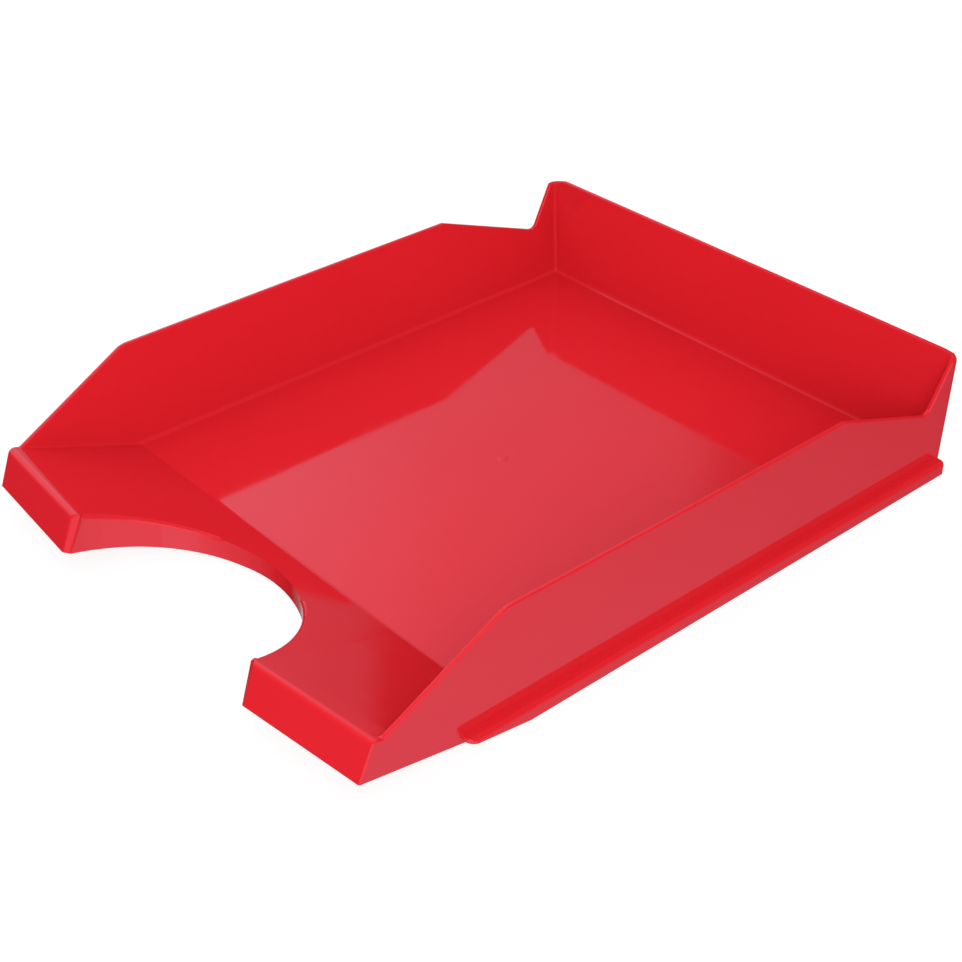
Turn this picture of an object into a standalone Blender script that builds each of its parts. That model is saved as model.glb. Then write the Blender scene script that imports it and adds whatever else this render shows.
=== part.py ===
"""Letter tray: one moulded sheet-walled tray, modelled as the regions that make it up.

Metres, +Z up, +Y towards the back. The origin is on the desk, under the middle of the
tray. The front edge is cut by a half-moon finger notch, the sides drop to a low lip at
the front and dip again before the raised back corners, and an L-shaped stacking rail
runs along the foot of each side.
"""
import math

import bmesh
import bpy
from mathutils import Matrix, Vector

MM = 0.001
WELD = 0.005 * MM             # points closer than this are one point

# Driving dimensions
WIDTH = 267.4 * MM            # over the two stacking rails
DEPTH = 342 * MM              # from the front of the lip to the back wall
BACK_HEIGHT = 59 * MM
SIDE_HEIGHT = 56.4 * MM
SHEET = 2.2 * MM              # thickness of every moulded wall
GAP = 0.3 * MM                # parting gap between neighbouring regions
DRAFT = 0.036                 # how far the sides lean out for each unit of height
BOW = 0.9 * MM                # how far the middle of a side's top edge bulges out
BOW_SPACING = 26 * MM         # the bow is followed by flats of this length

FRONT = -DEPTH / 2
BACK = DEPTH / 2

# Floor and the ramp in front of it
FLOOR_TOP = 4.9 * MM
FLOOR_BOTTOM = FLOOR_TOP - SHEET
CREASE = FRONT + 75 * MM      # where the flat floor turns up into the ramp
FOOT_HALF = 128 * MM          # outer face of a side wall, level with the desk
INNER_HALF = FOOT_HALF - SHEET

# Front lip
LIP_FOOT_HEIGHT = 11.3 * MM   # bottom edge of the front face
LIP_APEX_HEIGHT = 28.1 * MM   # where face and ramp would meet if the lip were sharp
LIP_LEAN = 0.41               # the front face leans back by this for each unit of height
LIP_RADIUS = 3 * MM
LIP_SWEEP = 0.094             # the front edge runs back by this for each unit outwards
LIP_DEPTH = 17 * MM           # the lip region ends this far behind the front edge
APEX_SETBACK = LIP_LEAN * (LIP_APEX_HEIGHT - LIP_FOOT_HEIGHT)
RAMP_SLOPE = (LIP_APEX_HEIGHT - FLOOR_TOP) / (CREASE - FRONT - APEX_SETBACK)

# Finger notch
NOTCH_RADIUS = 62.5 * MM
NOTCH_CENTRE = FRONT - 1.5 * MM
NOTCH_HALF = NOTCH_RADIUS + SHEET + GAP   # inner end of each half of the lip
NOTCH_SEGMENTS = 96

# Side walls; a y of this section counts from the front of the lip
KEEL_START = 6 * MM           # front end of the lower edge, at LIP_FOOT_HEIGHT
KEEL_END = 60 * MM            # rear end of the falling lower edge
KEEL_END_HEIGHT = 1.2 * MM
KEEL_RETURN = 6 * MM          # length of the step from there up to the wall's foot
DIAGONAL_START = 17.3 * MM    # the top edge leaves the lip here
DIAGONAL_START_HEIGHT = 26.5 * MM
DIAGONAL_END = 74 * MM        # front diagonal reaches the full side height here
DIP_START = 263 * MM          # the top edge starts to fall towards the dip
DIP_LOW = 324.5 * MM
DIP_LOW_HEIGHT = 33.9 * MM
RISE_END = 336.8 * MM
CORNER_HEIGHT = 56.5 * MM     # top of the back corners, a little below the back wall
CREST_RADIUS = 12 * MM        # rounding where the diagonal meets the top edge
DIP_RADIUS = 4 * MM
TIP_RADIUS = 1.5 * MM
VALLEY_RADIUS = 2 * MM        # rounding where the lip meets the diagonal

# Back wall
BACK_SHOULDER = 9 * MM        # the back wall reaches its full height this far in
SHOULDER_RADIUS = 6 * MM
CORNER_RADIUS = 2 * MM        # rounding of the upright back corners, seen from above

# Stacking rails
RAIL_HALF = WIDTH / 2
RAIL_TOP = 6.7 * MM
RAIL_DROP = 0.7 * MM          # the ledge falls this much towards its outer edge
RAIL_SHEET = 1.8 * MM         # thickness of the skirt
LEDGE_SHEET = 2 * MM          # its flat underside rests on the side walls of the tray below
SKIRT_EDGE_RADIUS = 1.7 * MM
RAIL_NOSE = FRONT + 53.5 * MM
RAIL_KINK = FRONT + 83.5 * MM     # behind this the rail stands on the desk
RAIL_END = FRONT + 337.5 * MM
NOSE_LIFT = 4.5 * MM          # height of the rail's lower edge at its nose

# The walls stop a gap above the ledges' underside, clear of the tray below in a stack
WALL_FOOT = RAIL_TOP - RAIL_DROP - LEDGE_SHEET + GAP

MARGIN = 10 * MM              # how far a cutter runs past what it cuts

SIDES = (("left", -1), ("right", 1))


# ---------------------------------------------------------------- scene and materials

def clear_scene():
    for obj in list(bpy.data.objects):
        bpy.data.objects.remove(obj, do_unlink=True)


def new_collection(name):
    collection = bpy.data.collections.new(name)
    bpy.context.scene.collection.children.link(collection)
    return collection


def red_plastic(name):
    """Glossy red polystyrene, one copy of it for each region."""
    material = bpy.data.materials.new(name + "_plastic")
    material.use_nodes = True
    shader = material.node_tree.nodes["Principled BSDF"]
    shader.inputs["Base Color"].default_value = (0.72, 0.012, 0.02, 1)
    shader.inputs["Roughness"].default_value = 0.2
    shader.inputs["Metallic"].default_value = 0
    return material


def add_part(name, mesh):
    part = bpy.data.objects.new(name, mesh)
    mesh.name = name
    mesh.materials.clear()
    mesh.materials.append(red_plastic(name))
    TRAY.objects.link(part)
    return part


def add_cutter(name, mesh):
    cutter = bpy.data.objects.new(name, mesh)
    cutter.hide_render = True
    cutter.display_type = "WIRE"
    CUTTERS.objects.link(cutter)
    return cutter


def cut(part, cutter, operation):
    boolean = part.modifiers.new(cutter.name, "BOOLEAN")
    boolean.operation = operation
    boolean.object = cutter


# ---------------------------------------------------------------- outlines and plates

def rounded(corners, steps=5):
    """The closed outline through (u, v, radius) corners, with its corners turned to arcs."""
    outline = []
    for index, (u, v, radius) in enumerate(corners):
        here = Vector((u, v))
        before = (Vector(corners[index - 1][:2]) - here).normalized()
        after = (Vector(corners[(index + 1) % len(corners)][:2]) - here).normalized()
        if radius == 0:
            outline.append(here)
            continue
        half_angle = before.angle(after) / 2
        centre = here + (before + after).normalized() * radius / math.sin(half_angle)
        start = here + before * radius / math.tan(half_angle) - centre
        end = here + after * radius / math.tan(half_angle) - centre
        turn = start.angle_signed(end)
        for step in range(steps + 1):
            arm = start.copy()
            arm.rotate(Matrix.Rotation(-turn * step / steps, 2))
            outline.append(centre + arm)
    return outline


def along_x(low, high):
    """Places an outline drawn in (y, z) as a plate that spans low to high in x."""
    return Matrix(((0, 0, 1, (low + high) / 2), (1, 0, 0, 0), (0, 1, 0, 0), (0, 0, 0, 1)))


def along_y(low, high):
    """Places an outline drawn in (x, z) as a plate that spans low to high in y."""
    return Matrix(((1, 0, 0, 0), (0, 0, -1, (low + high) / 2), (0, 1, 0, 0), (0, 0, 0, 1)))


def along_z(low, high):
    """Places an outline drawn in (x, y) as a plate that spans low to high in z."""
    return Matrix.Translation((0, 0, (low + high) / 2))


def plate(name, outline, placement, low, high):
    """A flat plate: its outline filled as a 2D curve, then welded into a mesh."""
    curve = bpy.data.curves.new(name + "_outline", "CURVE")
    curve.dimensions = "2D"
    curve.fill_mode = "BOTH"
    curve.extrude = (high - low) / 2
    spline = curve.splines.new("POLY")
    spline.points.add(len(outline) - 1)
    spline.use_cyclic_u = True
    for point, (u, v) in zip(spline.points, outline):
        point.co = (u, v, 0, 1)
    guide = bpy.data.objects.new(name + "_outline", curve)
    CUTTERS.objects.link(guide)
    guide.matrix_world = placement(low, high)
    bpy.context.view_layer.update()
    depsgraph = bpy.context.evaluated_depsgraph_get()
    mesh = bpy.data.meshes.new_from_object(guide.evaluated_get(depsgraph))
    mesh.transform(guide.matrix_world)
    bpy.data.objects.remove(guide, do_unlink=True)
    edit = bmesh.new()
    edit.from_mesh(mesh)
    bmesh.ops.remove_doubles(edit, verts=edit.verts, dist=WELD)
    bmesh.ops.recalc_face_normals(edit, faces=edit.faces)
    edit.to_mesh(mesh)
    edit.free()
    return mesh


def sliced(mesh, axis, places):
    """Cuts a mesh across x (axis 0) or y (axis 1), so that it can follow a curve or a fold."""
    edit = bmesh.new()
    edit.from_mesh(mesh)
    normal = Vector((axis == 0, axis == 1, 0))
    for place in places:
        everything = edit.verts[:] + edit.edges[:] + edit.faces[:]
        point = normal * place
        bmesh.ops.bisect_plane(edit, geom=everything, dist=WELD, plane_co=point, plane_no=normal)
    edit.to_mesh(mesh)
    edit.free()
    return mesh


def primitive(add, **size):
    """The mesh of a Blender primitive, without its object."""
    add(**size)
    obj = bpy.context.object
    mesh = obj.data
    bpy.data.objects.remove(obj, do_unlink=True)
    return mesh


# ---------------------------------------------------------------- the tray's own curvature

def splay(mesh):
    """Leans the sides out by the draft, and bows the middle of their top edges."""
    for vertex in mesh.vertices:
        x, y, z = vertex.co
        bow = BOW * z / SIDE_HEIGHT * max(0, 1 - (y / BACK) ** 2)
        vertex.co.x = x * (1 + (DRAFT * z + bow) / FOOT_HALF)
    return mesh


def sweep_front(mesh):
    """Runs the front edge back from the notch to the corners, fading out at the crease."""
    fade_start = FRONT + LIP_DEPTH
    for vertex in mesh.vertices:
        x, y, z = vertex.co
        fade = min(1, max(0, (CREASE - y) / (CREASE - fade_start)))
        vertex.co.y = y + LIP_SWEEP * max(0, abs(x) - NOTCH_HALF) * fade
    return mesh


def notch_cylinder(radius, height):
    """An upright cylinder about the notch's centre, through the plane of the desk."""
    add = bpy.ops.mesh.primitive_cylinder_add
    mesh = primitive(add, vertices=NOTCH_SEGMENTS, radius=radius, depth=height)
    mesh.transform(Matrix.Translation((0, NOTCH_CENTRE, 0)))
    return mesh


def ramp_height(y):
    """Height of the ramp's upper face, before the front edge is swept back."""
    return FLOOR_TOP + RAMP_SLOPE * (CREASE - y)


def front_section():
    """Section of the whole front, as (y, z) corners: face, lip, ramp, and the line below."""
    return [
        (FRONT, LIP_FOOT_HEIGHT, 0),
        (FRONT + KEEL_END, KEEL_END_HEIGHT, 0),
        (CREASE, KEEL_END_HEIGHT, 0),
        (CREASE, FLOOR_TOP, 0),
        (FRONT + APEX_SETBACK, LIP_APEX_HEIGHT, LIP_RADIUS),
    ]


# ---------------------------------------------------------------- regions of the tray

def build_floor():
    """The flat panel that the paper lies on, between the feet of the walls."""
    edge = INNER_HALF - GAP
    front = CREASE + GAP / 2
    back = BACK - SHEET - GAP
    mesh = primitive(bpy.ops.mesh.primitive_cube_add, size=1)
    mesh.transform(Matrix.Diagonal((2 * edge, back - front, SHEET, 1)))
    mesh.transform(Matrix.Translation((0, (front + back) / 2, (FLOOR_TOP + FLOOR_BOTTOM) / 2)))
    add_part("floor_panel", mesh)


def build_ramp(notch_clearance):
    """The sloping plate between the floor and the lip, with the notch cut out of it."""
    front = FRONT + LIP_DEPTH + GAP / 2
    back = CREASE - GAP / 2
    edge = INNER_HALF - GAP
    outline = [
        (front, ramp_height(front)),
        (front, ramp_height(front) - SHEET),
        (back, ramp_height(back) - SHEET),
        (back, ramp_height(back)),
    ]
    sheet = plate("front_ramp", outline, along_x, -edge, edge)
    folded = sweep_front(sliced(sheet, 0, (-NOTCH_HALF, NOTCH_HALF)))
    ramp = add_part("front_ramp", splay(folded))
    cut(ramp, notch_clearance, "DIFFERENCE")


def build_lip(side_name, side, notch_clearance):
    """One half of the front lip: the leaning face, the rolled top and the start of the ramp."""
    back = FRONT + LIP_DEPTH - GAP / 2
    inner_radius = LIP_RADIUS - SHEET
    lean = math.atan(LIP_LEAN)
    slope = math.atan(RAMP_SLOPE)
    face_inset = SHEET / math.cos(lean)
    ramp_inset = SHEET / math.cos(slope)
    # Where the offset face and the offset ramp meet, inside the lip
    inner_y = (LIP_APEX_HEIGHT - ramp_inset - LIP_FOOT_HEIGHT + RAMP_SLOPE * APEX_SETBACK
               + face_inset / LIP_LEAN) / (RAMP_SLOPE + 1 / LIP_LEAN)
    inner_z = LIP_FOOT_HEIGHT + (inner_y - face_inset) / LIP_LEAN
    corners = [
        (FRONT, LIP_FOOT_HEIGHT, 0),
        (FRONT + face_inset, LIP_FOOT_HEIGHT, 0),
        (FRONT + inner_y, inner_z, inner_radius),
        (back, ramp_height(back) - ramp_inset, 0),
        (back, ramp_height(back), 0),
        (FRONT + APEX_SETBACK, LIP_APEX_HEIGHT, LIP_RADIUS),
    ]
    low, high = sorted((side * (NOTCH_RADIUS - MARGIN), side * (INNER_HALF - GAP)))
    name = "front_lip_" + side_name
    sheet = sliced(plate(name, rounded(corners), along_x, low, high), 0, [side * NOTCH_HALF])
    lip = add_part(name, splay(sweep_front(sheet)))
    cut(lip, notch_clearance, "DIFFERENCE")


def build_notch_rim():
    """The curved wall round the finger notch, cut off by the section of the front."""
    rim = add_part("notch_rim", notch_cylinder(NOTCH_RADIUS + SHEET, 2 * SIDE_HEIGHT))
    section = plate("front_section", rounded(front_section()), along_x, -RAIL_HALF, RAIL_HALF)
    cut(rim, add_cutter("front_section", section), "INTERSECT")
    hollow = notch_cylinder(NOTCH_RADIUS, 4 * SIDE_HEIGHT)
    cut(rim, add_cutter("notch_hollow", hollow), "DIFFERENCE")


def build_side(side_name, side):
    """A side wall with its front diagonal, its dip and its raised back corner."""
    setback = LIP_SWEEP * (FOOT_HALF - NOTCH_HALF)
    rear = DEPTH - SHEET - GAP
    corners = [
        (KEEL_START, LIP_FOOT_HEIGHT, 0),
        (KEEL_END, KEEL_END_HEIGHT, 0),
        (KEEL_END + KEEL_RETURN, WALL_FOOT, 0),
        (rear, WALL_FOOT, 0),
        (rear, CORNER_HEIGHT, 0),
        (RISE_END, CORNER_HEIGHT, TIP_RADIUS),
        (DIP_LOW, DIP_LOW_HEIGHT, DIP_RADIUS),
        (DIP_START, SIDE_HEIGHT, DIP_RADIUS),
        (DIAGONAL_END, SIDE_HEIGHT, CREST_RADIUS),
        (DIAGONAL_START, DIAGONAL_START_HEIGHT, VALLEY_RADIUS),
        (setback + APEX_SETBACK, LIP_APEX_HEIGHT, LIP_RADIUS),
    ]
    corners = [(FRONT + y, z, radius) for y, z, radius in corners]
    low, high = sorted((side * INNER_HALF, side * FOOT_HALF))
    name = "side_wall_" + side_name
    slices = [FRONT + index * BOW_SPACING for index in range(1, math.ceil(DEPTH / BOW_SPACING))]
    sheet = sliced(plate(name, rounded(corners), along_x, low, high), 1, slices)
    add_part(name, splay(sheet))


def build_back():
    """The back wall, which closes both corners and stands a little above the sides."""
    shoulder = FOOT_HALF - BACK_SHOULDER
    outline = [
        (-FOOT_HALF, WALL_FOOT, 0),
        (FOOT_HALF, WALL_FOOT, 0),
        (FOOT_HALF, CORNER_HEIGHT, 0),
        (shoulder, BACK_HEIGHT, SHOULDER_RADIUS),
        (-shoulder, BACK_HEIGHT, SHOULDER_RADIUS),
        (-FOOT_HALF, CORNER_HEIGHT, 0),
    ]
    sheet = plate("back_wall", rounded(outline), along_y, BACK - SHEET, BACK)
    back = add_part("back_wall", splay(sheet))
    plan = [
        (-FOOT_HALF, BACK, CORNER_RADIUS),
        (FOOT_HALF, BACK, CORNER_RADIUS),
        (FOOT_HALF, 0, 0),
        (-FOOT_HALF, 0, 0),
    ]
    envelope = plate("corner_rounding", rounded(plan), along_z, -MARGIN, BACK_HEIGHT + MARGIN)
    cut(back, add_cutter("corner_rounding", splay(envelope)), "INTERSECT")


def rail_nose_cutter():
    """A wedge below the nose of both rails, which lifts their lower edge off the desk."""
    outline = [
        (RAIL_NOSE - MARGIN, -MARGIN),
        (RAIL_KINK, -MARGIN),
        (RAIL_KINK, 0),
        (RAIL_NOSE, NOSE_LIFT),
        (RAIL_NOSE - MARGIN, NOSE_LIFT),
    ]
    mesh = plate("rail_nose", outline, along_x, -WIDTH, WIDTH)
    return add_cutter("rail_nose", mesh)


def build_rail(side_name, side, nose_cutter):
    """The stacking rail: a ledge along the foot of the side, and the skirt that hangs from it."""
    inner = FOOT_HALF + GAP + DRAFT * RAIL_TOP
    split = RAIL_HALF - RAIL_SHEET
    outer_top = RAIL_TOP - RAIL_DROP
    ledge = [
        (inner, outer_top - LEDGE_SHEET, 0),
        (split - GAP, outer_top - LEDGE_SHEET, 0),
        (split - GAP, outer_top, 0),
        (inner, RAIL_TOP, 0),
    ]
    skirt = [
        (split, 0, 0),
        (RAIL_HALF, 0, 0),
        (RAIL_HALF, outer_top, SKIRT_EDGE_RADIUS),
        (split, outer_top, 0),
    ]
    for region, section in (("ledge", ledge), ("skirt", skirt)):
        name = f"stacking_{region}_{side_name}"
        outline = rounded([(side * u, v, radius) for u, v, radius in section])
        rail = add_part(name, plate(name, outline, along_y, RAIL_NOSE, RAIL_END))
        cut(rail, nose_cutter, "DIFFERENCE")


clear_scene()
TRAY = new_collection("letter_tray")
CUTTERS = new_collection("cutters")

build_floor()
clearance = add_cutter("notch_clearance", notch_cylinder(NOTCH_HALF, 4 * SIDE_HEIGHT))
build_ramp(clearance)
build_notch_rim()
build_back()
nose = rail_nose_cutter()
for side_label, sign in SIDES:
    build_lip(side_label, sign, clearance)
    build_side(side_label, sign)
    build_rail(side_label, sign, nose)
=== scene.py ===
"""Letter tray: the looks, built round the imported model.

The tray is one glossy red moulding, so one seamless shell stands for all the CAD's regions.
It is modelled with upright walls and a straight front, rounded, cut into a fine grid, and
then leaned, bowed and swept like the real moulding. Metres, +Z up, +Y towards the back.
"""
import math

import bmesh
import bpy
from mathutils import Matrix, Vector


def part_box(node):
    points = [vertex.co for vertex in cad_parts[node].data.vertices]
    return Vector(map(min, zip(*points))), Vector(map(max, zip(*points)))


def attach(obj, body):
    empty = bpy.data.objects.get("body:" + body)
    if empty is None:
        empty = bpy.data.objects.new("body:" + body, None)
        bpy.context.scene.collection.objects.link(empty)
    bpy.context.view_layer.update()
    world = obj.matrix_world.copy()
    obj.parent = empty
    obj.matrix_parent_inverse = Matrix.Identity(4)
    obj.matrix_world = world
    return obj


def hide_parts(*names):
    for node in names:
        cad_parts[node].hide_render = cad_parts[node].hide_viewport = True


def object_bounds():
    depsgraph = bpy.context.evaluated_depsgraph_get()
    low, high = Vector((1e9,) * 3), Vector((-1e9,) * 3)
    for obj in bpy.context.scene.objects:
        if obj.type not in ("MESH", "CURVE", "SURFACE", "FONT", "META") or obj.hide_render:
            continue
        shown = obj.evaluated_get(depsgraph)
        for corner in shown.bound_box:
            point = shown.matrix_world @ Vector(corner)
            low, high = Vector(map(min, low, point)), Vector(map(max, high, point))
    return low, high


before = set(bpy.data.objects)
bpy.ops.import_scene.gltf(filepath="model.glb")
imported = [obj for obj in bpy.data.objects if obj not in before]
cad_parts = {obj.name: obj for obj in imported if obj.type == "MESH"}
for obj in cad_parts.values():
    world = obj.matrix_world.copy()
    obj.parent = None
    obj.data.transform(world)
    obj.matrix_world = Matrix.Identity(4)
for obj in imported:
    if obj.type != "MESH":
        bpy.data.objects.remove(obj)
cad_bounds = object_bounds()

MM = 0.001

# Sizes read from the frame
FRONT = cad_bounds[0][1]
BACK = cad_bounds[1][1]
DEPTH = BACK - FRONT
BACK_HEIGHT = cad_bounds[1][2]
SIDE_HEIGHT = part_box("side_wall_right")[1][2]
FLOOR_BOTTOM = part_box("floor_panel")[0][2]
FLOOR_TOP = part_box("floor_panel")[1][2]
RAIL_HALF = cad_bounds[1][0]
RAIL_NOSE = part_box("stacking_skirt_right")[0][1]
RAIL_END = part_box("stacking_skirt_right")[1][1]
RAIL_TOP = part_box("stacking_ledge_right")[1][2]
LEDGE_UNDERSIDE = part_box("stacking_ledge_right")[0][2]
LIP_FOOT_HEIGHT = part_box("front_lip_right")[0][2]

# Sheet and side walls; a y of an outline counts from the front of the lip
SHEET = 2.2 * MM
FOOT_HALF = 128 * MM
INNER_HALF = FOOT_HALF - SHEET
DRAFT = 0.036
BOW = 0.9 * MM
CREASE = 75 * MM
DIAGONAL_START = 17.3 * MM
DIAGONAL_END = 74 * MM
DIP_START = 263 * MM
DIP_LOW = (324.5 * MM, 33.9 * MM)
RISE_END = 336.8 * MM
CORNER_HEIGHT = 56.5 * MM
TIP_RADIUS = 1.5 * MM         # rounding of the top edge at the back corner
DIP_RADIUS = 4 * MM
CREST_RADIUS = 12 * MM        # rounding where the front diagonal meets the top edge
LEFT_SHOULDER = 11 * MM       # how far in the back wall reaches its full height
RIGHT_SHOULDER = 6 * MM
SHOULDER_START = 1 * MM       # the rise starts this far outside the wall's foot
LIFT_START = 45 * MM          # the back wall is raised above this height only

# Front lip and ramp
LIP_APEX_HEIGHT = 28.1 * MM
LIP_LEAN = 0.41
LIP_SWEEP = 0.094
LIP_DEPTH = 17 * MM
APEX = LIP_LEAN * (LIP_APEX_HEIGHT - LIP_FOOT_HEIGHT)
RAMP_SLOPE = (LIP_APEX_HEIGHT - FLOOR_TOP) / (CREASE - APEX)
KEEL_END = 60 * MM
KEEL_HEIGHT = 1.2 * MM
KEEL_RETURN = 70 * MM

# Finger notch
NOTCH_RADIUS = 62.5 * MM
NOTCH_CENTRE = -1.5 * MM
NOTCH_SEGMENTS = 128
SWEEP_START = 65 * MM
CORNER_CUT = 2.6 * MM         # size of the cut corner between the notch and the front face
CORNER_CUTTER = 6 * MM        # how far its cutter reaches
CORNER_CUTTER_TOP = 40 * MM
CORNER_LEAN = 0.033           # the cutter leans in by this for each unit of height
CORNER_SETBACK = LIP_SWEEP * (FOOT_HALF - SWEEP_START)

# Stacking rails
SKIRT = 1.8 * MM              # thickness of the skirt
RAIL_EMBED = 1 * MM           # the rail reaches this far into the wall's foot
RAIL_INSET = 0.02 * MM        # keeps the rails just inside the box of the frame
RAIL_DROP = 0.2 * MM          # the ledge falls this much each way from its nominal height
RAIL_ROLL = 2.4 * MM          # rounding between the ledge and the skirt
RAIL_EDGE = 0.4 * MM          # rounding of the rail's other edges
RAIL_KINK = 83.5 * MM         # behind this the rail stands on the desk
NOSE_LIFT = 4.4 * MM          # height of the rail's lower edge at its nose
NOSE_ROUNDING = 4.2 * MM      # rounding of the nose and of the rear end, from above
END_ROUNDING = 1.2 * MM

# Radii of the shell's edges
BACK_CORNER_OUTSIDE = 3.2 * MM
BACK_CORNER_INSIDE = 1.6 * MM
LIP_ROLL = 2.8 * MM
FLOOR_FILLET = 1.8 * MM
RAMP_FILLET = 1.2 * MM
CREASE_FILLET = 1 * MM
FOOT_RADIUS = 1.3 * MM
NOTCH_ROLL = 1.9 * MM
NOTCH_UPRIGHT = 1.4 * MM
OTHER_EDGES = 0.75 * MM
WIDEST = 4 * MM               # bevel weights are fractions of this
SLIVER = 0.06 * MM            # vertices closer than this are welded after rounding

# Grid that lets the shell curve
GRID_STEP = 8 * MM
GRID_REACH = 15               # columns on each side of the middle
GRID_EXTRA = 118 * MM
GRID_HEIGHTS = (12, 20, 28, 36, 45, 51)     # millimetres

# Gate mark
GATE_X = -4 * MM
GATE_Y = 192 * MM
GATE_RADIUS = 2.4 * MM
GATE_FLATNESS = 0.06

# Camera: lens and sensor in millimetres, angles in degrees
LENS = 66.535
SENSOR = 36
CAMERA_SHIFT = (-0.00209, 0.00070)
CAMERA_PLACE = (0.506654, -0.434616, 0.443924)
CAMERA_TURN = 49.0265
CAMERA_DOWN = 33.4212
CAMERA_ROLL = -0.5122

# Light: the dome, weaker from below; the soft key; and what gloss sees towards a few
# directions, each with its tint and its brightness by the cosine to that direction
DOME_ABOVE = 0.9
DOME_BELOW = 0.56
KEY_POWER = 19
COOL = (0.75, 0.97, 1.2)
WARM = (1, 0.8, 0.8)
GLOSS_PATCHES = (
    ((-0.86, 0.05, 0.51), COOL, ((0.70, 0), (0.77, 0.14), (0.86, 0.33), (0.91, 0.72), (1, 0.9))),
    ((-0.77, -0.64, 0), COOL, ((0, 0), (0.02, 0.2), (0.35, 0.2), (0.45, 0))),
    ((0.59, -0.34, -0.73), COOL, ((0.15, 0), (0.41, 0.22), (0.63, 0.47), (0.89, 0.88), (1, 0.95))),
    ((0.70, -0.57, 0.43), COOL, ((0.80, 0), (0.95, 0.8), (1, 0.9))),
    ((-0.60, 0.50, -0.63), WARM, ((0.80, 0), (0.95, 0.35), (1, 0.6))),
)

FAR = 100 * MM                # how far a cutter runs past what it cuts


# ---------------------------------------------------------------- solids

def rounded(corners, steps=6):
    """The outline through (u, v, radius) corners, with its corners turned to arcs."""
    outline = []
    for index, (u, v, radius) in enumerate(corners):
        here = Vector((u, v))
        before = (Vector(corners[index - 1][:2]) - here).normalized()
        after = (Vector(corners[(index + 1) % len(corners)][:2]) - here).normalized()
        if radius == 0:
            outline.append(here)
            continue
        half_angle = before.angle(after) / 2
        centre = here + (before + after).normalized() * radius / math.sin(half_angle)
        start = here + before * radius / math.tan(half_angle) - centre
        end = here + after * radius / math.tan(half_angle) - centre
        turn = start.angle_signed(end)
        for step in range(steps + 1):
            arm = start.copy()
            arm.rotate(Matrix.Rotation(-turn * step / steps, 2))
            outline.append(centre + arm)
    return outline


def solid(name, edit):
    bmesh.ops.recalc_face_normals(edit, faces=edit.faces)
    mesh = bpy.data.meshes.new(name)
    edit.to_mesh(mesh)
    edit.free()
    obj = bpy.data.objects.new(name, mesh)
    bpy.context.collection.objects.link(obj)
    return obj


def prism(name, outline, axis, low, high):
    """A closed outline drawn across an axis, and carried along it from low to high."""
    place = {"x": lambda u, v, w: (w, u, v),
             "y": lambda u, v, w: (u, w, v),
             "z": lambda u, v, w: (u, v, w)}[axis]
    edit = bmesh.new()
    base = edit.faces.new([edit.verts.new(place(u, v, low)) for u, v in outline])
    swept = bmesh.ops.extrude_face_region(edit, geom=[base])["geom"]
    shift = Vector(place(0, 0, high - low))
    moved = [part for part in swept if isinstance(part, bmesh.types.BMVert)]
    bmesh.ops.translate(edit, vec=shift, verts=moved)
    return solid(name, edit)


def notch_cylinder(name, radius):
    edit = bmesh.new()
    place = Matrix.Translation((0, FRONT + NOTCH_CENTRE, 0))
    bmesh.ops.create_cone(edit, cap_ends=True, segments=NOTCH_SEGMENTS, radius1=radius,
                          radius2=radius, depth=2 * FAR, matrix=place)
    return solid(name, edit)


def apply_modifiers(obj):
    depsgraph = bpy.context.evaluated_depsgraph_get()
    mesh = bpy.data.meshes.new_from_object(obj.evaluated_get(depsgraph))
    obj.modifiers.clear()
    obj.data = mesh


def combine(obj, operation, tools):
    """Cuts, joins or trims obj with each tool in turn, and uses the tools up."""
    for tool in tools:
        boolean = obj.modifiers.new(tool.name, "BOOLEAN")
        boolean.operation = operation
        boolean.object = tool
    apply_modifiers(obj)
    for tool in tools:
        bpy.data.objects.remove(tool, do_unlink=True)


def clean(obj):
    """Merges faces that lie in one plane, so that each flat of the moulding is one face."""
    edit = bmesh.new()
    edit.from_mesh(obj.data)
    bmesh.ops.remove_doubles(edit, verts=edit.verts, dist=0.004 * MM)
    bmesh.ops.dissolve_limit(edit, angle_limit=math.radians(0.4), verts=edit.verts,
                             edges=edit.edges)
    edit.to_mesh(obj.data)
    edit.free()


# ---------------------------------------------------------------- rounding

def at(value, target, tolerance=0.3 * MM):
    return abs(value - target) < tolerance


def ramp_height(y):
    """Height of the ramp's upper face at y, counted from the front."""
    return FLOOR_TOP + RAMP_SLOPE * (CREASE - y)


def steep(edge):
    return abs((edge.verts[1].co - edge.verts[0].co).normalized().z) > 0.8


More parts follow.
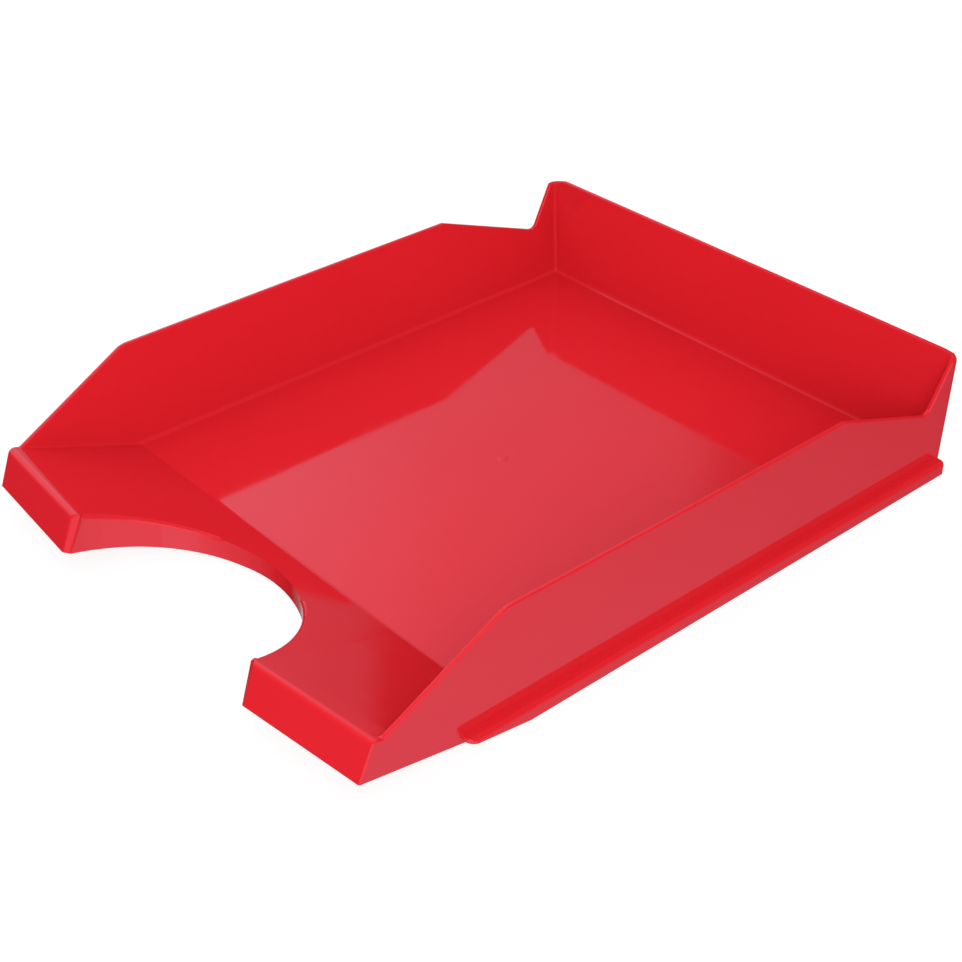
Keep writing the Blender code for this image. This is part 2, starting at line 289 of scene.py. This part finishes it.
def big_radius(edge):
    """The radius of a main edge of the shell, before it is leaned and swept, or 0."""
    a, b = edge.verts[0].co, edge.verts[1].co
    middle = (a + b) / 2
    along = (b - a).normalized()
    y = middle.y - FRONT
    side = abs(middle.x)
    upright = abs(along.z) > 0.99
    lengthwise = abs(along.x) < 0.01 and not upright
    across = abs(along.x) > 0.99
    ramp = ramp_height(y)
    if upright and at(side, FOOT_HALF) and at(y, DEPTH):
        return BACK_CORNER_OUTSIDE
    if upright and at(side, INNER_HALF) and at(y, DEPTH - SHEET):
        return BACK_CORNER_INSIDE
    if across and at(y, APEX) and at(middle.z, LIP_APEX_HEIGHT):
        return LIP_ROLL
    if lengthwise and at(side, INNER_HALF) and y > CREASE and at(middle.z, FLOOR_TOP):
        return FLOOR_FILLET
    if lengthwise and at(side, INNER_HALF) and y < CREASE and at(middle.z, ramp):
        return RAMP_FILLET
    if across and at(y, DEPTH - SHEET) and at(middle.z, FLOOR_TOP):
        return FLOOR_FILLET
    if across and at(y, CREASE) and at(middle.z, FLOOR_TOP):
        return CREASE_FILLET
    if at(middle.z, FLOOR_BOTTOM) and (at(side, FOOT_HALF) or at(y, DEPTH)) and y > KEEL_RETURN:
        return FOOT_RADIUS
    return 0


def small_radius(edge):
    """Radius of the remaining sharp edges of the shell."""
    middle = (edge.verts[0].co + edge.verts[1].co) / 2
    y = middle.y - FRONT
    lower = middle.z < LIP_FOOT_HEIGHT + 0.5 * MM
    if at(math.hypot(middle.x, y - NOTCH_CENTRE), NOTCH_RADIUS, 0.5 * MM) and not lower:
        return NOTCH_UPRIGHT if steep(edge) else NOTCH_ROLL
    if y < CREASE and lower:
        return 0
    return OTHER_EDGES


def bevel(obj, radius_of, sharper_than, segments, strength):
    """Rounds every edge that bends by more than an angle in degrees, by its own radius."""
    edit = bmesh.new()
    edit.from_mesh(obj.data)
    weight = edit.edges.layers.float.new("bevel_weight_edge")
    for edge in edit.edges:
        if len(edge.link_faces) == 2 and edge.calc_face_angle() > math.radians(sharper_than):
            edge[weight] = radius_of(edge) / WIDEST
        else:
            edge[weight] = 0
    edit.to_mesh(obj.data)
    edit.free()
    rounding = obj.modifiers.new("rounding", "BEVEL")
    rounding.limit_method = "WEIGHT"
    rounding.width = WIDEST
    rounding.segments = segments
    rounding.face_strength_mode = strength
    rounding.use_clamp_overlap = False
    apply_modifiers(obj)
    edit = bmesh.new()
    edit.from_mesh(obj.data)
    edit.edges.layers.float.remove(edit.edges.layers.float["bevel_weight_edge"])
    edit.to_mesh(obj.data)
    edit.free()


# ---------------------------------------------------------------- the moulding's curvature

def smooth_step(value, start, end):
    t = min(1, max(0, (value - start) / (end - start)))
    return t * t * (3 - 2 * t)


def unswept(y):
    """The y that the sweep carries to y on a side wall."""
    kink = LIP_DEPTH + CORNER_SETBACK
    if y <= kink:
        return y - CORNER_SETBACK
    if y >= CREASE:
        return y
    return CREASE - (CREASE - y) * (CREASE - LIP_DEPTH) / (CREASE - kink)


def weld(obj, distance):
    """Removes the slivers that rounding leaves where several radii meet."""
    edit = bmesh.new()
    edit.from_mesh(obj.data)
    bmesh.ops.remove_doubles(edit, verts=edit.verts, dist=distance)
    bmesh.ops.dissolve_degenerate(edit, dist=distance, edges=edit.edges)
    edit.to_mesh(obj.data)
    edit.free()


def grid_slices(obj):
    """Cuts the shell across all three axes, so that it can curve smoothly."""
    edit = bmesh.new()
    edit.from_mesh(obj.data)
    columns = range(-GRID_REACH, GRID_REACH + 1)
    rows = range(1, math.ceil(DEPTH / GRID_STEP))
    cuts = [((1, 0, 0), index * GRID_STEP) for index in columns]
    cuts += [((1, 0, 0), side * place) for side in (-1, 1) for place in (GRID_EXTRA, SWEEP_START)]
    cuts += [((0, 1, 0), FRONT + index * GRID_STEP) for index in rows]
    cuts += [((0, 1, 0), FRONT + LIP_DEPTH), ((0, 1, 0), FRONT + CREASE)]
    cuts += [((0, 0, 1), height * MM) for height in GRID_HEIGHTS]
    for normal, distance in cuts:
        point = Vector(normal) * distance
        everything = edit.verts[:] + edit.edges[:] + edit.faces[:]
        bmesh.ops.bisect_plane(edit, geom=everything, dist=0.002 * MM, plane_co=point,
                               plane_no=normal)
    edit.to_mesh(obj.data)
    edit.free()


def curve_shell(obj):
    """Sweeps the front back, raises the back wall's middle, and leans and bows the sides."""
    for vertex in obj.data.vertices:
        x, y, z = vertex.co
        from_front = y - FRONT
        fade = min(1, max(0, (CREASE - from_front) / (CREASE - LIP_DEPTH)))
        swept = y + LIP_SWEEP * max(0, abs(x) - SWEEP_START) * fade
        lift = 0
        if from_front > RISE_END:
            shoulder = LEFT_SHOULDER if x < 0 else RIGHT_SHOULDER
            from_side = FOOT_HALF + SHOULDER_START - abs(x)
            lift = (BACK_HEIGHT - CORNER_HEIGHT) * smooth_step(from_side, 0, shoulder)
            lift *= min(1, max(0, (z - LIFT_START) / (CORNER_HEIGHT - LIFT_START)))
        bow = BOW * z / SIDE_HEIGHT * max(0, 1 - (y / BACK) ** 2)
        vertex.co = (x * (1 + (DRAFT * z + bow) / FOOT_HALF), swept, z + lift)


# ---------------------------------------------------------------- the shell

def side_outline():
    """Outline of the tray from the side, as (y, z) counted from the front and swept back."""
    kink = LIP_DEPTH + CORNER_SETBACK
    keel_fall = (LIP_FOOT_HEIGHT - KEEL_HEIGHT) / (KEEL_END - CORNER_SETBACK)
    start_height = ramp_height(unswept(DIAGONAL_START))
    rise = (SIDE_HEIGHT - start_height) / (DIAGONAL_END - DIAGONAL_START)
    corners = [
        (CORNER_SETBACK, LIP_FOOT_HEIGHT, 0),
        (kink, LIP_FOOT_HEIGHT - keel_fall * LIP_DEPTH, 0),
        (KEEL_END, KEEL_HEIGHT, 0),
        (KEEL_END + (KEEL_RETURN - KEEL_END) / 2, KEEL_HEIGHT, 0),
        (KEEL_RETURN, FLOOR_BOTTOM, 0),
        (DEPTH, FLOOR_BOTTOM, 0),
        (DEPTH, CORNER_HEIGHT, 0),
        (RISE_END, CORNER_HEIGHT, TIP_RADIUS),
        (*DIP_LOW, DIP_RADIUS),
        (DIP_START, SIDE_HEIGHT, DIP_RADIUS),
        (DIAGONAL_END, SIDE_HEIGHT, CREST_RADIUS),
        (kink, start_height + rise * (kink - DIAGONAL_START), 0),
        (DIAGONAL_START, start_height, 0),
        (CORNER_SETBACK + APEX, LIP_APEX_HEIGHT, 0),
    ]
    return [(FRONT + unswept(y), z) for y, z in rounded(corners)]


def upper_hollow():
    """The space over the floor and the ramp, between the walls."""
    start = unswept(DIAGONAL_START)
    outline = [
        (FRONT + start, ramp_height(start)),
        (FRONT + CREASE, FLOOR_TOP),
        (BACK - SHEET, FLOOR_TOP),
        (BACK - SHEET, FAR),
        (FRONT + start, FAR),
    ]
    return prism("upper_hollow", outline, "x", -INNER_HALF, INNER_HALF)


def lower_hollow():
    """The space behind the front face and under the ramp, round the notch's rim."""
    face_inset = SHEET / math.cos(math.atan(LIP_LEAN))
    ramp_inset = SHEET / math.cos(math.atan(RAMP_SLOPE))
    apex_y = (LIP_APEX_HEIGHT - ramp_inset - LIP_FOOT_HEIGHT + RAMP_SLOPE * APEX
              + face_inset / LIP_LEAN) / (RAMP_SLOPE + 1 / LIP_LEAN)
    apex_z = LIP_FOOT_HEIGHT + (apex_y - face_inset) / LIP_LEAN
    end = CREASE + (FLOOR_TOP - ramp_inset - FLOOR_BOTTOM) / RAMP_SLOPE
    foot = face_inset - LIP_LEAN * (FAR + LIP_FOOT_HEIGHT)
    outline = [
        (FRONT + foot, -FAR),
        (FRONT + apex_y, apex_z),
        (FRONT + end, FLOOR_BOTTOM),
        (FRONT + end, -FAR),
    ]
    hollow = prism("lower_hollow", outline, "x", -INNER_HALF, INNER_HALF)
    combine(hollow, "DIFFERENCE", [notch_cylinder("rim_outside", NOTCH_RADIUS + SHEET)])
    return hollow


def notch_corner(side):
    """Cuts off the sharp corner between the notch and the leaning front face."""
    corner = NOTCH_RADIUS
    outline = [
        (side * (corner + CORNER_CUT), 0),
        (side * corner, CORNER_CUT),
        (side * (corner - CORNER_CUTTER), CORNER_CUT),
        (side * (corner - CORNER_CUTTER), -CORNER_CUTTER),
        (side * (corner + CORNER_CUT), -CORNER_CUTTER),
    ]
    placed = [(x, FRONT + y) for x, y in outline]
    cutter = prism("notch_corner", placed, "z", 0, CORNER_CUTTER_TOP)
    for vertex in cutter.data.vertices:
        rise = vertex.co.z - LIP_FOOT_HEIGHT
        vertex.co.x -= side * CORNER_LEAN * rise
        vertex.co.y += LIP_LEAN * rise
    return cutter


def make_shell():
    shell = prism("letter_tray", side_outline(), "x", -FOOT_HALF, FOOT_HALF)
    combine(shell, "DIFFERENCE",
            [upper_hollow(), lower_hollow(), notch_cylinder("notch", NOTCH_RADIUS),
             notch_corner(-1), notch_corner(1)])
    clean(shell)
    bevel(shell, big_radius, sharper_than=12, segments=6, strength="FSTR_ALL")
    bevel(shell, small_radius, sharper_than=38, segments=3, strength="FSTR_AFFECTED")
    weld(shell, SLIVER)
    grid_slices(shell)
    curve_shell(shell)
    return shell


def make_rail(side):
    """A stacking rail: a ledge along the foot of the side, and the skirt that hangs from it."""
    embedded = FOOT_HALF - RAIL_EMBED
    outer = RAIL_HALF - RAIL_INSET
    skirt_inner = RAIL_HALF - SKIRT
    shoulder = RAIL_TOP - RAIL_DROP
    section = [
        (embedded, LEDGE_UNDERSIDE, 0),
        (skirt_inner, LEDGE_UNDERSIDE, 0),
        (skirt_inner, 0, 0),
        (outer, 0, 0),
        (outer, shoulder, RAIL_ROLL),
        (embedded, RAIL_TOP + RAIL_DROP, 0),
    ]
    outline = [(side * u, v) for u, v in rounded(section)]
    rail = prism("rail", outline, "y", RAIL_NOSE, RAIL_END)
    nose = [
        (RAIL_NOSE - FAR, -FAR),
        (FRONT + RAIL_KINK, -FAR),
        (FRONT + RAIL_KINK, 0),
        (RAIL_NOSE, NOSE_LIFT),
        (RAIL_NOSE - FAR, NOSE_LIFT),
    ]
    combine(rail, "DIFFERENCE", [prism("nose", nose, "x", -FAR * 2, FAR * 2)])
    plan = rounded([
        (FAR, RAIL_NOSE, 0),
        (outer, RAIL_NOSE, NOSE_ROUNDING),
        (outer, RAIL_END, END_ROUNDING),
        (FAR, RAIL_END, 0),
    ])
    placed = [(side * u, v) for u, v in plan]
    combine(rail, "INTERSECT", [prism("plan", placed, "z", -FAR, FAR)])
    clean(rail)
    bevel(rail, lambda edge: RAIL_EDGE, sharper_than=32, segments=3, strength="FSTR_ALL")
    return rail


def make_gate_mark():
    """The low round scar where the plastic entered the mould, a little left of the middle."""
    edit = bmesh.new()
    place = Matrix.Translation((GATE_X, FRONT + GATE_Y, FLOOR_TOP))
    flat = Matrix.Diagonal((1, 1, GATE_FLATNESS, 1))
    bmesh.ops.create_uvsphere(edit, u_segments=32, v_segments=12, radius=GATE_RADIUS,
                              matrix=place @ flat)
    return solid("gate_mark", edit)


def shade(obj):
    for polygon in obj.data.polygons:
        polygon.use_smooth = True
    obj.data.set_sharp_from_angle(angle=math.radians(40))
    normals = obj.modifiers.new("flat_faces_stay_flat", "WEIGHTED_NORMAL")
    normals.keep_sharp = True
    normals.weight = 100
    normals.use_face_influence = True


# ---------------------------------------------------------------- material

def red_plastic():
    """Glossy red polystyrene: faint moulding ripple, uneven polish and a fine orange peel."""
    material = bpy.data.materials.new("tray_plastic")
    material.use_nodes = True
    nodes = material.node_tree.nodes
    links = material.node_tree.links
    shader = nodes["Principled BSDF"]
    shader.inputs["IOR"].default_value = 1.5
    place = nodes.new("ShaderNodeTexCoord").outputs["Object"]

    def noise(scale, detail, roughness=0.5):
        node = nodes.new("ShaderNodeTexNoise")
        node.inputs["Scale"].default_value = scale
        node.inputs["Detail"].default_value = detail
        node.inputs["Roughness"].default_value = roughness
        links.new(place, node.inputs["Vector"])
        return node.outputs["Fac"]

    def ramp(source, low, high, from_low=0.35, from_high=0.65):
        node = nodes.new("ShaderNodeMapRange")
        node.inputs["From Min"].default_value = from_low
        node.inputs["From Max"].default_value = from_high
        node.inputs["To Min"].default_value = low
        node.inputs["To Max"].default_value = high
        links.new(source, node.inputs["Value"])
        return node.outputs["Result"]

    tint = nodes.new("ShaderNodeMix")
    tint.data_type = "RGBA"
    tint.inputs["A"].default_value = (0.67, 0.0150, 0.0240, 1)
    tint.inputs["B"].default_value = (0.71, 0.0175, 0.0270, 1)
    links.new(noise(11, 3), tint.inputs["Factor"])
    links.new(tint.outputs["Result"], shader.inputs["Base Color"])
    links.new(ramp(noise(38, 5, 0.62), 0.045, 0.085), shader.inputs["Roughness"])

    ripple = nodes.new("ShaderNodeBump")
    ripple.inputs["Strength"].default_value = 0.09
    ripple.inputs["Distance"].default_value = 0.25 * MM
    links.new(noise(55, 2), ripple.inputs["Height"])
    peel = nodes.new("ShaderNodeBump")
    peel.inputs["Strength"].default_value = 0.05
    peel.inputs["Distance"].default_value = 0.03 * MM
    links.new(noise(900, 2), peel.inputs["Height"])
    links.new(ripple.outputs["Normal"], peel.inputs["Normal"])
    links.new(peel.outputs["Normal"], shader.inputs["Normal"])
    return material


# ---------------------------------------------------------------- studio

def pale_floor():
    edit = bmesh.new()
    bmesh.ops.create_grid(edit, x_segments=1, y_segments=1, size=6)
    floor = solid("studio_floor", edit)
    floor.location.z = -0.02 * MM
    material = bpy.data.materials.new("studio_paper")
    material.use_nodes = True
    shader = material.node_tree.nodes["Principled BSDF"]
    shader.inputs["Base Color"].default_value = (0.14, 0.14, 0.14, 1)
    shader.inputs["Roughness"].default_value = 0.9
    shader.inputs["Specular IOR Level"].default_value = 0
    shader.inputs["Emission Color"].default_value = (1, 1, 1, 1)
    shader.inputs["Emission Strength"].default_value = 0.88
    floor.data.materials.append(material)
    floor.visible_glossy = False
    floor.visible_diffuse = False


def soft_light():
    """A dome, weaker from below, for shading, soft patches for gloss, and a soft key."""
    world = bpy.data.worlds.new("studio")
    bpy.context.scene.world = world
    world.use_nodes = True
    nodes = world.node_tree.nodes
    links = world.node_tree.links
    dome = nodes["Background"]
    dome.inputs["Color"].default_value = (1, 1, 1, 1)
    direction = nodes.new("ShaderNodeTexCoord").outputs["Generated"]
    height = nodes.new("ShaderNodeSeparateXYZ")
    links.new(direction, height.inputs["Vector"])
    fade = nodes.new("ShaderNodeMapRange")
    fade.inputs["From Min"].default_value = -0.35
    fade.inputs["From Max"].default_value = 0.15
    fade.inputs["To Min"].default_value = DOME_BELOW
    fade.inputs["To Max"].default_value = DOME_ABOVE
    links.new(height.outputs["Z"], fade.inputs["Value"])
    links.new(fade.outputs["Result"], dome.inputs["Strength"])

    def patch(towards, tint, stops):
        """Light whose brightness depends on the cosine between the ray and one direction."""
        along = nodes.new("ShaderNodeVectorMath")
        along.operation = "DOT_PRODUCT"
        along.inputs[1].default_value = Vector(towards).normalized()
        links.new(direction, along.inputs[0])
        place = nodes.new("ShaderNodeMapRange")
        place.inputs["From Min"].default_value = -1
        links.new(along.outputs["Value"], place.inputs["Value"])
        levels = nodes.new("ShaderNodeValToRGB")
        elements = levels.color_ramp.elements
        for index, (cosine, level) in enumerate(stops):
            if index >= len(elements):
                elements.new(1)
            elements[index].position = (cosine + 1) / 2
            elements[index].color = (*(level * part for part in tint), 1)
        links.new(place.outputs["Result"], levels.inputs["Fac"])
        light = nodes.new("ShaderNodeBackground")
        links.new(levels.outputs["Color"], light.inputs["Color"])
        return light.outputs["Background"]

    gloss = None
    for towards, tint, stops in GLOSS_PATCHES:
        light = patch(towards, tint, stops)
        if gloss is not None:
            both = nodes.new("ShaderNodeAddShader")
            links.new(gloss, both.inputs[0])
            links.new(light, both.inputs[1])
            light = both.outputs["Shader"]
        gloss = light
    path = nodes.new("ShaderNodeLightPath")
    either = nodes.new("ShaderNodeMixShader")
    links.new(path.outputs["Is Glossy Ray"], either.inputs["Fac"])
    links.new(dome.outputs["Background"], either.inputs[1])
    links.new(gloss, either.inputs[2])
    links.new(either.outputs["Shader"], nodes["World Output"].inputs["Surface"])
    key = bpy.data.objects.new("key", bpy.data.lights.new("key", "AREA"))
    key.data.shape = "DISK"
    key.data.size = 1.2
    key.data.energy = KEY_POWER
    key.location = (1.2, -1.2, 1.0)
    key.rotation_euler = (-key.location).to_track_quat("-Z", "Y").to_euler()
    key.visible_glossy = False
    bpy.context.collection.objects.link(key)


def place_camera():
    data = bpy.data.cameras.new("camera")
    data.lens = LENS
    data.sensor_width = SENSOR
    data.shift_x, data.shift_y = CAMERA_SHIFT
    data.clip_end = 50
    camera = bpy.data.objects.new("camera", data)
    turn = Matrix.Rotation(math.radians(CAMERA_TURN), 4, "Z")
    tilt = Matrix.Rotation(math.radians(90 - CAMERA_DOWN), 4, "X")
    roll = Matrix.Rotation(math.radians(CAMERA_ROLL), 4, "Z")
    camera.matrix_world = Matrix.Translation(CAMERA_PLACE) @ turn @ tilt @ roll
    bpy.context.collection.objects.link(camera)
    bpy.context.scene.camera = camera


bpy.context.scene.view_settings.view_transform = "Standard"
place_camera()
soft_light()
pale_floor()

tray = make_shell()
combine(tray, "UNION", [make_rail(-1), make_rail(1), make_gate_mark()])
tray.data.materials.clear()
tray.data.materials.append(red_plastic())
shade(tray)
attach(tray, "root")
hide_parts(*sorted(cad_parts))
